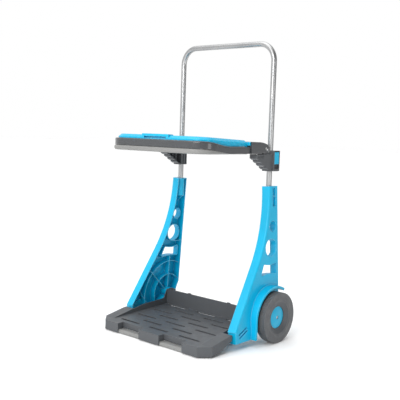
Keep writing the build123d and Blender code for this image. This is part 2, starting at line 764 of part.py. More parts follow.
with BuildPart() as bracket:
    with BuildSketch(side_view(bracket_out)):
        with BuildLine():
            Polyline(bracket_shape, close=True)
        make_face()
    extrude(amount=bracket_out - bracket_in)
    with BuildSketch(side_view(housing_out)):
        with Locations(((housing_front - 4.0 + housing_back) / 2, (bracket_base + housing_top) / 2)):
            RectangleRounded(housing_front - 4.0 - housing_back, housing_top - bracket_base, 2.0)
    extrude(amount=housing_out - housing_in)
    with BuildSketch(side_view(bracket_out - bracket_skin)) as recess:
        with BuildLine():
            Polyline(recess_shape, close=True)
        make_face()
        for place in rib_places:
            with Locations((place, bracket_base + 30.0)):
                Rectangle(rib, 120.0, mode=Mode.SUBTRACT)
    extrude(amount=bracket_out, mode=Mode.SUBTRACT)
    for low, high, shallow in ((2.0, 8.0, 4.0), (-13.0, -7.0, 4.0)):
        for base, top in ((bracket_base + 3.0, 650.0), (654.0, housing_top - 5.0)):
            with BuildSketch(side_view(bracket_in + shallow)):
                with Locations(((low + high) / 2, (base + top) / 2)):
                    Rectangle(high - low, top - base)
            extrude(amount=2 * shallow, mode=Mode.SUBTRACT)
    with BuildSketch(side_view(bracket_out)):
        with Locations((bracket_front - 24.0, bracket_top - 8.5)):
            Rectangle(34.0, 10.0)
        for step in range(4):
            with Locations((bracket_front - 36.0 + 8.0 * step, bracket_top - 8.5)):
                Rectangle(1.6, 12.0, mode=Mode.SUBTRACT)
    extrude(amount=1.5, mode=Mode.SUBTRACT)
    with BuildSketch(side_view(arm_out - arm_skin - moving_gap)):
        with Locations((fold_ahead, (fold_z + bracket_top - 2.0) / 2)):
            Rectangle(2 * fold_lug_radius, fold_z - bracket_top + 2.0)
        with Locations((fold_ahead, fold_z)):
            Circle(fold_lug_radius)
    extrude(amount=arm_out - arm_in - 2 * arm_skin - 2 * moving_gap)
    with BuildSketch(side_view(arm_out)):
        with Locations((fold_ahead, fold_z)):
            Circle(fold_pin_radius + running_fit)
    extrude(amount=arm_out, mode=Mode.SUBTRACT)
    with BuildSketch(Plane.XY.offset(bracket_base - 1.0)):
        with Locations((tube_x, tube_y)):
            Circle(tube_radius + running_fit)
    extrude(amount=housing_top, mode=Mode.SUBTRACT)
    with BuildSketch(side_view(housing_out)):
        with Locations(((lever_pocket[0] + lever_pocket[1]) / 2, (lever_pocket[2] + lever_pocket[3]) / 2)):
            RectangleRounded(lever_pocket[0] - lever_pocket[1], lever_pocket[3] - lever_pocket[2], 1.5)
    extrude(amount=housing_out - pocket_floor_x, mode=Mode.SUBTRACT)
    with BuildSketch(Plane(origin=(lever_pin_x, tube_y - housing_front, lever_pin_z), z_dir=(0, 1, 0))):
        Circle(lever_pin_radius + running_fit)
    extrude(amount=housing_front - housing_back - 1.0, mode=Mode.SUBTRACT)
    with BuildSketch(side_view(pocket_floor_x)):
        with Locations(((lever_pocket[0] + lever_pocket[1]) / 2 + 11.5, pad_z)):
            Circle(pad_radius + running_fit)
    extrude(amount=10.0, mode=Mode.SUBTRACT)

with BuildPart() as clamp_lever:
    lever_in = pocket_floor_x + 1.0
    with BuildSketch(Plane(origin=(lever_pin_x, tube_y - lever_pocket[0] + lever_gap, lever_pin_z),
                           x_dir=(1, 0, 0), z_dir=(0, 1, 0))) as lever_side:
        with BuildLine():
            Polyline(
                (lever_in - lever_pin_x, 0),
                (lever_in - lever_pin_x, lever_pin_z - lever_low - 4.0),
                (lever_in - lever_pin_x + 4.0, lever_pin_z - lever_low),
                (lever_out - lever_pin_x, lever_pin_z - lever_low),
                (lever_out - lever_pin_x, 0),
                close=True,
            )
        make_face()
        Circle(lever_pin_x - lever_in)
        Circle(lever_pin_radius + running_fit, mode=Mode.SUBTRACT)
    extrude(amount=lever_pocket[0] - lever_pocket[1] - 2 * lever_gap)
    fillet(clamp_lever.faces().sort_by(Axis.X)[-1].edges().filter_by(Axis.Z), radius=1.2)

with BuildPart() as clamp_pad:
    with BuildSketch(side_view(pocket_floor_x)):
        with Locations(((lever_pocket[0] + lever_pocket[1]) / 2 + 11.5, pad_z)):
            Circle(pad_radius)
    extrude(amount=pocket_floor_x - tube_x - tube_radius - seat_gap)

lever_pins = []
fold_pins = []
for name, side in sides.items():
    save(mirrored(bracket.part, side), name + "_bracket")
    save(mirrored(clamp_lever.part, side), name + "_clamp_lever")
    save(mirrored(clamp_pad.part, side), name + "_clamp_pad")
    with BuildPart() as lever_pin:
        with BuildSketch(Plane(origin=(side * lever_pin_x, tube_y - lever_pocket[0] - 3.0, lever_pin_z),
                               z_dir=(0, 1, 0))):
            Circle(lever_pin_radius)
        extrude(amount=lever_pocket[0] - lever_pocket[1] + 4.5)
    lever_pins.append(lever_pin.part)
    with BuildPart() as fold_pin:
        with BuildSketch(Plane.YZ.offset(side * arm_in)):
            with Locations((tube_y - fold_ahead, fold_z)):
                Circle(fold_pin_radius)
        extrude(amount=side * (arm_out - arm_in))
    fold_pins.append(fold_pin.part)
group("lever_pins", lever_pins)
group("ring_fold_pins", fold_pins)

# ------------------------------------------------------------------ bag ring, its frame and arms
ring_half = tube_x + 6.5
ring_corner = 60.0
ring_height = 17.0
ring_width = 14.0
ring_round = 6.5
frame_half = tube_x + 11.0
frame_front = 381.0
frame_corner = 68.0
frame_width = 24.0
frame_skin = 3.5
frame_back = arm_front + seat_gap
frame_front_top = 705.0
frame_side_top = 689.0
frame_height = 24.0
level_ends = 234.0  # ahead of the tubes, where the frame starts to rise over the ring
rise_ends = 364.0
frame_boss_radius = 5.0
ring_screw_ahead = 375.0
ring_screw_places = (-118.0, 0.0, 118.0)
ring_screw_bite = 14.0  # length of thread in the frame's bosses
arm_screw_places = (tube_x - 8.0, tube_x + 2.5)
arm_screw_z = ring_base + 11.0
arm_screw_bite = 9.0  # length of thread in the ring
frame_round = 5.0
lid_hinge_ahead = 118.0
lid_hinge_z = 699.0
lid_pin_radius = 2.5
lid_knuckle_radius = 6.5
knuckle_in = tube_x - 9.0
knuckle_out = tube_x + 10.0


def ring_plan(half, front, back, corner, datum=tube_y):
    """Plan outline of the ring, frame or lid: square at the back, large radii at the front."""
    with BuildSketch(mode=Mode.PRIVATE) as plan:
        with BuildLine():
            Polyline(
                (-half, datum - back),
                (-half, datum - front),
                (half, datum - front),
                (half, datum - back),
                close=True,
            )
        make_face()
        fillet(plan.vertices().group_by(Axis.Y)[0], radius=corner)
        fillet(plan.vertices().group_by(Axis.Y)[-1], radius=4.0)
    return plan.sketch


def rise_curve(offset, far):
    """Side-view area from the frame's rising top line, moved by offset, up or down to a height."""
    with BuildSketch(side_view(frame_half + 20.0), mode=Mode.PRIVATE) as area:
        with BuildLine():
            back_run = Line((0, frame_side_top + offset), (level_ends, frame_side_top + offset))
            climb = Spline(
                back_run @ 1,
                (rise_ends, frame_front_top + offset),
                tangents=[(1, 0), (1, 0)],
                tangent_scalars=[0.9, 0.9],
            )
            front_run = Line(climb @ 1, (frame_front + 20.0, frame_front_top + offset))
            Polyline(front_run @ 1, (frame_front + 20.0, far), (0, far), back_run @ 0)
        make_face()
    return area.sketch


def trim_to_rise(offset, far):
    """Cuts away all that lies between the frame's top line, moved by offset, and a height."""
    extrude(rise_curve(offset, far), amount=2 * frame_half + 40.0, dir=(-1, 0, 0), mode=Mode.SUBTRACT)


with BuildPart() as bag_ring:
    with BuildSketch(Plane.XY.offset(ring_base)) as ring_area:
        add(ring_plan(ring_half, front_reach, frame_back + frame_skin + 1.0, ring_corner))
        offset(amount=-ring_width, mode=Mode.SUBTRACT)
    extrude(amount=ring_height)
    flats = bag_ring.faces().filter_by(Axis.Z)
    fillet([edge for flat in flats for edge in flat.outer_wire().edges()], radius=ring_round)
    with BuildSketch(Plane.XY.offset(ring_base)):
        with Locations([(x, tube_y - ring_screw_ahead) for x in ring_screw_places]):
            Circle(tube_screw_radius + running_fit)
    extrude(amount=ring_height, mode=Mode.SUBTRACT)
    with BuildSketch(Plane.XY.offset(ring_base)):
        with Locations([(x, tube_y - ring_screw_ahead) for x in ring_screw_places]):
            Circle(screw_head_radius + seat_gap)
    extrude(amount=screw_head_height + seat_gap, mode=Mode.SUBTRACT)
    with BuildSketch(Plane.XZ.offset(frame_back - tube_y)):
        with Locations([(side * x, arm_screw_z) for side in sides.values() for x in arm_screw_places]):
            Circle(tube_screw_radius + running_fit)
    extrude(amount=frame_skin + arm_screw_bite + moving_gap, mode=Mode.SUBTRACT)
save(bag_ring.part, "bag_ring")

with BuildPart() as frame_cavity:
    with BuildSketch(Plane.XY.offset(ring_base - 1.0)):
        add(ring_plan(frame_half, frame_front, frame_back, frame_corner))
        offset(amount=-frame_skin)
        add(offset(ring_plan(frame_half, frame_front, frame_back, frame_corner),
                   amount=frame_skin - frame_width, mode=Mode.PRIVATE), mode=Mode.SUBTRACT)
    extrude(amount=frame_front_top - ring_base)
    trim_to_rise(-frame_skin, handle_height)


def looks_out(face):
    """Whether a wall of the ring frame looks outwards, at its front or its sides."""
    outwards = face.center() - Vector(0, tube_y - (frame_front + frame_back) / 2, face.center().Z)
    normal = face.normal_at()
    return abs(normal.Z) < 0.1 and normal.Y < 0.5 and normal.dot(outwards) > 0


with BuildPart() as ring_frame:
    with BuildSketch(Plane.XY.offset(ring_base - 1.0)):
        add(ring_plan(frame_half, frame_front, frame_back, frame_corner))
        offset(amount=-frame_width, mode=Mode.SUBTRACT)
    extrude(amount=frame_front_top - ring_base + 10.0)
    trim_to_rise(0.0, handle_height)
    trim_to_rise(-frame_height, 0.0)
    top_faces = ring_frame.faces().filter_by(lambda face: face.normal_at().Z > 0.4)
    fillet(top_faces.edges() & ring_frame.faces().filter_by(looks_out).edges(), radius=frame_round)
    add(frame_cavity.part, mode=Mode.SUBTRACT)
    with BuildSketch(Plane.XY.offset(ring_base + ring_height + seat_gap)):
        with Locations([(x, tube_y - ring_screw_ahead) for x in ring_screw_places]):
            Circle(frame_boss_radius)
    extrude(amount=frame_front_top - frame_skin - ring_base - ring_height)
    with BuildSketch(Plane.XY.offset(ring_base + ring_height)):
        with Locations([(x, tube_y - ring_screw_ahead) for x in ring_screw_places]):
            Circle(tube_screw_radius + running_fit)
    extrude(amount=ring_screw_bite + moving_gap, mode=Mode.SUBTRACT)
    with BuildSketch(Plane.XZ.offset(frame_back - tube_y - 1.0)):
        with Locations([(side * x, arm_screw_z) for side in sides.values() for x in arm_screw_places]):
            Circle(tube_screw_radius + running_fit)
    extrude(amount=frame_skin + 2.0, mode=Mode.SUBTRACT)
save(ring_frame.part, "ring_frame")

arm_seat = ring_base + 1.5
arm_bottom = fold_z - arm_heel_radius


def arm_side(inset):
    """Side outline of a ring arm: flat under the front, round about the fold pin at the heel."""
    with BuildSketch(side_view(arm_out), mode=Mode.PRIVATE) as area:
        with BuildLine():
            face = Line((arm_front, arm_seat), (arm_front, arm_top_front))
            brow = Line(face @ 1, (fold_ahead + 42.0, arm_top_front - 0.5))
            crown = ThreePointArc(
                brow @ 1,
                (fold_ahead + 10.0, arm_top_rear + 5.5),
                (fold_ahead - arm_heel_radius + 4.0, arm_top_rear - 1.0),
            )
            back = Line(crown @ 1, (fold_ahead - arm_heel_radius, fold_z))
            heel = RadiusArc(back @ 1, (fold_ahead, arm_bottom), arm_heel_radius)
            under = Polyline(heel @ 1, (fold_ahead + 22.0, arm_bottom), (fold_ahead + 26.0, arm_seat),
                             face @ 0)
        make_face()
        if inset:
            offset(amount=-inset)
    return area.sketch


with BuildPart() as arm_cavity:
    with BuildSketch(side_view(arm_out - arm_skin)):
        add(arm_side(arm_skin))
        with Locations((fold_ahead + 33.0, arm_bottom)):
            Rectangle(2 * 33.0 + 24.0, 24.0)
        with Locations((fold_ahead, fold_z)):
            Circle(arm_heel_radius + 1.0)
    extrude(amount=arm_out - arm_in - 2 * arm_skin)

with BuildPart() as ring_arm:
    add(arm_side(0.0))
    extrude(amount=arm_out - arm_in, dir=(-1, 0, 0))
    fillet(ring_arm.faces().sort_by(Axis.X)[-1].edges(), radius=1.8)
    add(arm_cavity.part, mode=Mode.SUBTRACT)
    with BuildSketch(side_view(arm_out)):
        with Locations((fold_ahead, fold_z)):
            Circle(fold_pin_radius + running_fit)
    extrude(amount=arm_out, mode=Mode.SUBTRACT)
    with BuildSketch(side_view(knuckle_out + moving_gap)):
        with Locations((lid_hinge_ahead, lid_hinge_z)):
            Circle(lid_knuckle_radius + moving_gap)
            with Locations((0, 10.0), (10.0, 0)):
                Rectangle(2 * (lid_knuckle_radius + moving_gap), 2 * (lid_knuckle_radius + moving_gap))
    extrude(amount=knuckle_out - knuckle_in + 2 * moving_gap, mode=Mode.SUBTRACT)
    with BuildSketch(side_view(arm_out - 1.5)):
        with Locations((lid_hinge_ahead, lid_hinge_z)):
            Circle(lid_pin_radius + running_fit)
    extrude(amount=arm_out - arm_in, mode=Mode.SUBTRACT)
    with BuildSketch(Plane.XZ.offset(arm_front - arm_skin - tube_y - 1.0)):
        with Locations([(x, arm_screw_z) for x in arm_screw_places]):
            Circle(tube_screw_radius + running_fit)
    extrude(amount=arm_skin + 2.0, mode=Mode.SUBTRACT)

lid_pins = []
for name, side in sides.items():
    save(mirrored(ring_arm.part, side), name + "_ring_arm")
    with BuildPart() as lid_pin:
        with BuildSketch(Plane.YZ.offset(side * (arm_in + 1.0))):
            with Locations((tube_y - lid_hinge_ahead, lid_hinge_z)):
                Circle(lid_pin_radius)
        extrude(amount=side * (arm_out - arm_in - 3.0))
    lid_pins.append(lid_pin.part)
group("lid_hinge_pins", lid_pins)

arm_screw_y = tube_y - arm_front + arm_skin + seat_gap
group("arm_screws", [
    screw(Plane(origin=(side * x, arm_screw_y, arm_screw_z), z_dir=(0, -1, 0)),
          arm_skin + frame_skin + arm_screw_bite)
    for side in sides.values()
    for x in arm_screw_places
])
group("ring_screws", [
    screw(Plane(origin=(x, tube_y - ring_screw_ahead, ring_base + screw_head_height)),
          ring_height - screw_head_height + ring_screw_bite)
    for x in ring_screw_places
])

# ------------------------------------------------------------------ lid
lid_half = tube_x
lid_front = 370.0
lid_back = 134.0
lid_corner = 58.0
lid_tilt = 2.4  # degrees that the lid rises towards its front
lid_edge_z = 701.0  # top of the lid's upright edge at its back
lid_crown = 9.0
lid_slope = 48.0
lid_skin = 3.0
lid_gap = 0.6
dish_depth = 4.0
dish_ahead = 262.0
dish_long = 148.0
dish_short = 78.0
dish_slope = 1.5  # run of the dish's side for each millimetre of depth
grip_half = 62.0
grip_run = 25.0
grip_rise = 3.5
grip_slot_half = 52.0
grip_slot_height = 6.5
grip_slot_run = 11.0
lid_lug_half = 6.0
lid_plane = Plane(
    origin=(0, tube_y - lid_back, lid_edge_z), x_dir=(1, 0, 0),
    z_dir=(0, sin(radians(lid_tilt)), cos(radians(lid_tilt))),
)
lid_drop = 60.0


def lid_plan(inset):
    """Plan outline of the lid in its own tilted plane."""
    return ring_plan(lid_half - inset, lid_front - inset, lid_back + inset, lid_corner - inset, lid_back)


def lid_body(inset, crown):
    """The lid's upright edge and sloped crown, drawn in by inset, before the frame trims it."""
    extrude(lid_plane.offset(-lid_drop).location * lid_plan(inset), amount=lid_drop)
    extrude(lid_plane.location * lid_plan(inset), amount=crown, taper=lid_slope)


with BuildPart() as lid_inside:
    lid_body(lid_skin, lid_crown - lid_skin)
    with BuildSketch(lid_plane.offset(lid_crown - lid_skin - dish_depth)):
        with Locations((0, lid_back - dish_ahead)):
            Ellipse(dish_long + lid_skin, dish_short + lid_skin)
    extrude(amount=dish_depth, mode=Mode.SUBTRACT)
    with BuildSketch(lid_plane.offset(-lid_drop)):
        with Locations((0, lid_back - lid_front)):
            Rectangle(2 * (grip_half + lid_skin), 2 * (grip_run + lid_skin))
    extrude(amount=2 * lid_drop, mode=Mode.SUBTRACT)

with BuildPart() as lid_dish:
    for depth in (0.0, dish_depth):
        with BuildSketch(lid_plane.offset(lid_crown - depth)):
            with Locations((0, lid_back - dish_ahead)):
                Ellipse(dish_long - dish_slope * depth, dish_short - dish_slope * depth)
    loft()

with BuildPart() as lid_panel:
    lid_body(0.0, lid_crown)
    fillet(lid_panel.faces().sort_by(Axis.Z)[-1].edges(), radius=3.0)
    with BuildSketch(lid_plane.offset(-lid_drop)):
        with Locations((0, lid_back - lid_front + grip_run / 2)):
            Rectangle(2 * grip_half, grip_run)
    extrude(amount=lid_drop + lid_crown + grip_rise)
    grip_top = lid_panel.faces().sort_by(Axis.Z)[-1]
    fillet(grip_top.edges(), radius=2.0)
    add(lid_dish.part, mode=Mode.SUBTRACT)
    with BuildSketch(Plane.XZ.offset(lid_front - tube_y + 1.0)):
        with Locations((0, frame_front_top + lid_gap + 2.5 + grip_slot_height / 2)):
            Rectangle(2 * grip_slot_half, grip_slot_height)
    extrude(amount=-grip_slot_run - 1.0, mode=Mode.SUBTRACT)
    add(lid_inside.part, mode=Mode.SUBTRACT)
    trim_to_rise(lid_gap, 0.0)
    for side in sides.values():
        with BuildSketch(side_view(side * tube_x + (knuckle_out - knuckle_in) / 2)):
            with Locations((lid_hinge_ahead, lid_hinge_z)):
                Circle(lid_knuckle_radius)
            with BuildLine():
                Polyline(
                    (lid_hinge_ahead, lid_hinge_z + lid_lug_half),
                    (lid_back + 2.0, lid_hinge_z + lid_lug_half),
                    (lid_back + 2.0, lid_hinge_z - lid_lug_half),
                    (lid_hinge_ahead, lid_hinge_z - lid_lug_half),
                    close=True,
                )
            make_face()
            with Locations((lid_hinge_ahead, lid_hinge_z)):
                Circle(lid_pin_radius + running_fit, mode=Mode.SUBTRACT)
        extrude(amount=knuckle_out - knuckle_in)
save(lid_panel.part, "lid_panel")
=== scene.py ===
# %% [markdown]
# # A folding platform cart
# The cart is a load tray hinged between two moulded side panels, with two wheels on one axle, a bent
# silver tube handle, and a carriage on the tubes that holds a ring for a bag under a hinged lid. The
# CAD model already has every piece at its true size, so this lesson keeps those meshes, gives each one
# a material worked out from how it is made, and models afresh the pieces whose detail is too fine for
# the CAD. Lengths are in metres, Z is up, and the tray points along -Y.

import math

import bpy
from mathutils import Matrix, Vector


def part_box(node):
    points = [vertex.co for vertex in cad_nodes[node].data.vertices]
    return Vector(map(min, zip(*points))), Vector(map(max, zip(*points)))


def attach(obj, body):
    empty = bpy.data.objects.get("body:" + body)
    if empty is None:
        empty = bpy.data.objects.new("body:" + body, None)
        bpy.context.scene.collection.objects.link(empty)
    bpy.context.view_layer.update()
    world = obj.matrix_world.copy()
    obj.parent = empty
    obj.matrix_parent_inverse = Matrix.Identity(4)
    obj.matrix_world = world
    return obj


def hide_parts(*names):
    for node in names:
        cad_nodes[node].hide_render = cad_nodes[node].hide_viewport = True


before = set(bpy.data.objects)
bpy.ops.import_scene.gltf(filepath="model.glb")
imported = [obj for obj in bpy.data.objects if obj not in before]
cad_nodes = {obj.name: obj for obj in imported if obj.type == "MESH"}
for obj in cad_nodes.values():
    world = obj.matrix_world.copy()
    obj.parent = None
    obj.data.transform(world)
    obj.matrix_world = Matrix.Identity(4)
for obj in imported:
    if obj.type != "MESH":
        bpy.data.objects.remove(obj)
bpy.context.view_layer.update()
print("pieces in the frame:", len(cad_nodes))


# %% [markdown]
# ## Helpers
# An operator in Blender acts on whatever is selected. So each modelling step first clears the
# selection, then makes one object active, and picks faces by where they are. Doing that in three small
# helpers keeps the steps below as short as they would be by hand.

# %% Selection helpers
def clear_selection():
    """Leaves object mode with nothing selected."""
    if bpy.context.object and bpy.context.object.mode != "OBJECT":
        bpy.ops.object.mode_set(mode="OBJECT")
    for thing in list(bpy.context.selected_objects):
        thing.select_set(False)


def work_on(piece):
    """Makes one piece the only selected and active object."""
    clear_selection()
    piece.select_set(True)
    bpy.context.view_layer.objects.active = piece


def pick_faces(piece, wanted):
    """Enters edit mode with only the faces picked whose centre and normal pass the test."""
    work_on(piece)
    bpy.ops.object.mode_set(mode="EDIT")
    bpy.ops.mesh.select_mode(type="FACE")
    bpy.ops.mesh.select_all(action="DESELECT")
    bpy.ops.object.mode_set(mode="OBJECT")
    count = 0
    for face in piece.data.polygons:
        face.select = bool(wanted(face.center, face.normal))
        count += face.select
    bpy.ops.object.mode_set(mode="EDIT")
    return count


def pick_edges(piece, wanted):
    """Enters edit mode with only the edges picked whose two ends pass the test."""
    work_on(piece)
    bpy.ops.object.mode_set(mode="EDIT")
    bpy.ops.mesh.select_mode(type="EDGE")
    bpy.ops.mesh.select_all(action="DESELECT")
    bpy.ops.object.mode_set(mode="OBJECT")
    points = piece.data.vertices
    count = 0
    for edge in piece.data.edges:
        edge.select = bool(wanted(points[edge.vertices[0]].co, points[edge.vertices[1]].co))
        count += edge.select
    bpy.ops.object.mode_set(mode="EDIT")
    return count


def at_origin(piece):
    """Puts the piece's place, turn and size into its mesh."""
    work_on(piece)
    bpy.ops.object.transform_apply(location=True, rotation=True, scale=True)


print("helpers ready")


# %% [markdown]
# ## What the materials share
# A moulded or drawn surface is never one even colour. Each recipe below starts from the same three
# ideas: a slow noise that shifts the colour a little, a fine noise that gives grain to the bump and
# the gloss, and a paler line where two faces meet, which is partly wear and, on the plastics, partly a
# painted highlight along the edge. The line could be painted by hand, but the Bevel node finds every
# edge by itself: where its softened normal turns away from the true one, there is an edge. The same
# softened normal also rounds the edges in the light.

# %% Material helpers
class Finish:
    """A material being built: its nodes, its links and its surface shader."""

    def __init__(self, name):
        self.material = bpy.data.materials.new(name)
        self.material.use_nodes = True
        self.tree = self.material.node_tree
        self.tree.nodes.clear()
        self.shader = self.add("ShaderNodeBsdfPrincipled")
        output = self.add("ShaderNodeOutputMaterial")
        self.link(self.shader.outputs["BSDF"], output.inputs["Surface"])
        self.place = self.add("ShaderNodeTexCoord").outputs["Object"]

    def add(self, kind, **values):
        node = self.tree.nodes.new(kind)
        for name, value in values.items():
            setattr(node, name, value)
        return node

    def link(self, source, target):
        self.tree.links.new(source, target)

    def noise(self, scale, detail=2.0, stretch=None):
        """Noise in the piece's own metres: scale is how many blobs fit in one metre."""
        node = self.add("ShaderNodeTexNoise")
        node.inputs["Scale"].default_value = scale
        node.inputs["Detail"].default_value = detail
        if stretch:
            mapping = self.add("ShaderNodeMapping")
            mapping.inputs["Scale"].default_value = stretch
            self.link(self.place, mapping.inputs["Vector"])
            self.link(mapping.outputs["Vector"], node.inputs["Vector"])
        else:
            self.link(self.place, node.inputs["Vector"])
        return node.outputs["Fac"]

    def spread(self, source, low, high, start=0.3, end=0.7):
        """Stretches the middle of a noise over a range of values."""
        node = self.add("ShaderNodeMapRange")
        for name, value in (("From Min", start), ("From Max", end), ("To Min", low), ("To Max", high)):
            node.inputs[name].default_value = value
        self.link(source, node.inputs["Value"])
        return node.outputs["Result"]

    def blend(self, share, first, second):
        """Mixes two colours, each a triple or another node's output."""
        node = self.add("ShaderNodeMix", data_type="RGBA")
        self.link(share, node.inputs["Factor"])
        for socket, colour in ((node.inputs[6], first), (node.inputs[7], second)):
            if isinstance(colour, tuple):
                socket.default_value = (*colour, 1.0)
            else:
                self.link(colour, socket)
        return node.outputs[2]

    def edges(self, radius):
        """A softened normal, and a share that rises to 1 along the edges."""
        soft = self.add("ShaderNodeBevel", samples=4)
        soft.inputs["Radius"].default_value = radius
        true = self.add("ShaderNodeNewGeometry")
        dot = self.add("ShaderNodeVectorMath", operation="DOT_PRODUCT")
        self.link(soft.outputs["Normal"], dot.inputs[0])
        self.link(true.outputs["Normal"], dot.inputs[1])
        return soft.outputs["Normal"], self.spread(dot.outputs["Value"], 1.0, 0.0, 0.82, 0.99)

    def bump(self, height, depth, strength, normal=None):
        """Bump from a noise, on top of another normal."""
        node = self.add("ShaderNodeBump")
        node.inputs["Strength"].default_value = strength
        node.inputs["Distance"].default_value = depth
        self.link(height, node.inputs["Height"])
        if normal is not None:
            self.link(normal, node.inputs["Normal"])
        return node.outputs["Normal"]


def tone(colour, share):
    """The colour made darker or lighter by a share."""
    return tuple(min(1.0, part * share) for part in colour)


def moulded_plastic(name, colour, gloss, grain, grain_depth, edge_radius, edge_wear_and_highlight, coat=0.0):
    """Injection-moulded plastic: slow colour drift, fine sparked grain, paler edges that are partly wear
    and partly a painted highlight.
    """
    look = Finish(name)
    drift = look.spread(look.noise(7.0, 3.0), 0.0, 1.0)
    body = look.blend(drift, tone(colour, 0.94), tone(colour, 1.05))
    soft_normal, edge = look.edges(edge_radius)
    rub = look.spread(look.noise(60.0, 4.0), 0.2, 1.0)
    # Paler edges: partly rubbed wear, partly a painted highlight along each edge.
    worn_and_highlit_share = look.add("ShaderNodeMath", operation="MULTIPLY")
    look.link(edge, worn_and_highlit_share.inputs[0])
    look.link(rub, worn_and_highlit_share.inputs[1])
    pale_wear_and_highlight = tuple(part + (1.0 - part) * edge_wear_and_highlight for part in colour)
    look.link(look.blend(worn_and_highlit_share.outputs["Value"], body, pale_wear_and_highlight), look.shader.inputs["Base Color"])
    patches = look.spread(look.noise(45.0, 5.0), gloss - 0.05, gloss + 0.07)
    look.link(patches, look.shader.inputs["Roughness"])
    skin = look.bump(look.noise(grain, 2.0), grain_depth, 0.35, soft_normal)
    look.link(skin, look.shader.inputs["Normal"])
    look.shader.inputs["Specular IOR Level"].default_value = 0.35
    look.shader.inputs["Coat Weight"].default_value = coat
    look.shader.inputs["Coat Roughness"].default_value = 0.12
    return look.material


print("material helpers ready")

# %% [markdown]
# ## The plastics
# The panels, the lid and the wheel caps are one bright blue, moulded with a satin skin that picks up
# soft highlights. The tray, the brackets and the ring's frame are a dark grey with a duller grain, the
# frame being polished a little more. The bag ring and the skid bar are a warm light grey. One recipe
# with different numbers suits all of them, as one moulding shop would make them all.

# %% Plastics
BLUE = (0.001, 0.41, 0.66)
DARK_GREY = (0.082, 0.087, 0.094)
LIGHT_GREY = (0.23, 0.23, 0.225)
BLACK_GREY = (0.035, 0.036, 0.038)
FRAME_GREY = tone(DARK_GREY, 0.62)

# In each recipe the number after the edge radius pales the edges: partly wear, partly a painted highlight.
blue_plastic = moulded_plastic("blue_moulding", BLUE, 0.36, 1500.0, 0.00012, 0.0018, 0.50, coat=0.05)
lid_plastic = moulded_plastic("blue_lid_moulding", BLUE, 0.26, 1800.0, 0.00008, 0.0016, 0.45, coat=0.12)
dark_plastic = moulded_plastic("dark_grey_moulding", DARK_GREY, 0.44, 1300.0, 0.00016, 0.0010, 0.16)
frame_plastic = moulded_plastic(
    "polished_grey_moulding", FRAME_GREY, 0.22, 1700.0, 0.00006, 0.0014, 0.20, coat=0.5)
light_plastic = moulded_plastic("warm_light_moulding", LIGHT_GREY, 0.42, 1500.0, 0.00010, 0.0010, 0.20)
bearing_plastic = moulded_plastic("bearing_moulding", BLACK_GREY, 0.45, 1500.0, 0.00010, 0.0006, 0.10)
print("plastics:", BLUE, DARK_GREY, LIGHT_GREY)


# %% [markdown]
# ## The tube
# The handle is a drawn tube with a satin silver coat. Drawing leaves faint lines along its length, so
# its noise is stretched along Z: few blobs along the tube and many around it. A second, slower noise
# keeps long reflections from looking ruled.

# %% Silver tube
def drawn_tube():
    look = Finish("satin_silver_tube")
    lines = look.noise(90.0, 4.0, stretch=(6.0, 6.0, 0.25))
    drift = look.spread(look.noise(12.0, 3.0), 0.0, 1.0)
    look.link(look.blend(drift, (0.36, 0.365, 0.37), (0.44, 0.44, 0.44)), look.shader.inputs["Base Color"])
    look.link(look.spread(lines, 0.28, 0.42), look.shader.inputs["Roughness"])
    look.link(look.bump(lines, 0.00006, 0.30), look.shader.inputs["Normal"])
    look.shader.inputs["Metallic"].default_value = 1.0
    return look.material


silver_tube = drawn_tube()


# %% [markdown]
# ## Zinc-plated steel
# The axle, the screws, the washers and the pins are plated steel. Plating has small crystals with
# slightly different tones, so a Voronoi pattern a millimetre or two across shifts both the colour and
# the gloss, and the edges are rubbed brighter.

# %% Plated steel
def plated_steel():
    look = Finish("zinc_plated_steel")
    cells = look.add("ShaderNodeTexVoronoi")
    cells.inputs["Scale"].default_value = 700.0
    look.link(look.place, cells.inputs["Vector"])
    grey = look.add("ShaderNodeSeparateColor")
    look.link(cells.outputs["Color"], grey.inputs["Color"])
    body = look.blend(grey.outputs["Red"], (0.42, 0.43, 0.44), (0.56, 0.56, 0.55))
    soft_normal, edge = look.edges(0.0004)
    look.link(look.blend(edge, body, (0.75, 0.75, 0.74)), look.shader.inputs["Base Color"])
    look.link(look.spread(grey.outputs["Green"], 0.30, 0.45, 0.0, 1.0), look.shader.inputs["Roughness"])
    look.link(look.bump(look.noise(900.0, 3.0), 0.00005, 0.3, soft_normal), look.shader.inputs["Normal"])
    look.shader.inputs["Metallic"].default_value = 1.0
    return look.material


zinc_steel = plated_steel()


# %% [markdown]
# ## The tyre material
# The wheel is a hard rubber-like plastic, duller than the tray. Its tread carries grey scuffs and dust
# that gather in blotches, and the moulding leaves a fine leathery grain.

# %% Tyre rubber
def tyre_material():
    look = Finish("grey_tyre")
    dust = look.spread(look.noise(38.0, 6.0), 0.0, 1.0, 0.42, 0.75)
    body = look.blend(dust, (0.092, 0.096, 0.102), (0.125, 0.127, 0.130))
    soft_normal, edge = look.edges(0.0008)
    look.link(look.blend(edge, body, (0.20, 0.20, 0.205)), look.shader.inputs["Base Color"])
    look.link(look.spread(look.noise(120.0, 4.0), 0.50, 0.66), look.shader.inputs["Roughness"])
    look.link(look.bump(look.noise(1400.0, 3.0), 0.00015, 0.4, soft_normal), look.shader.inputs["Normal"])
    return look.material


grey_tyre = tyre_material()
print("metals and rubber ready")
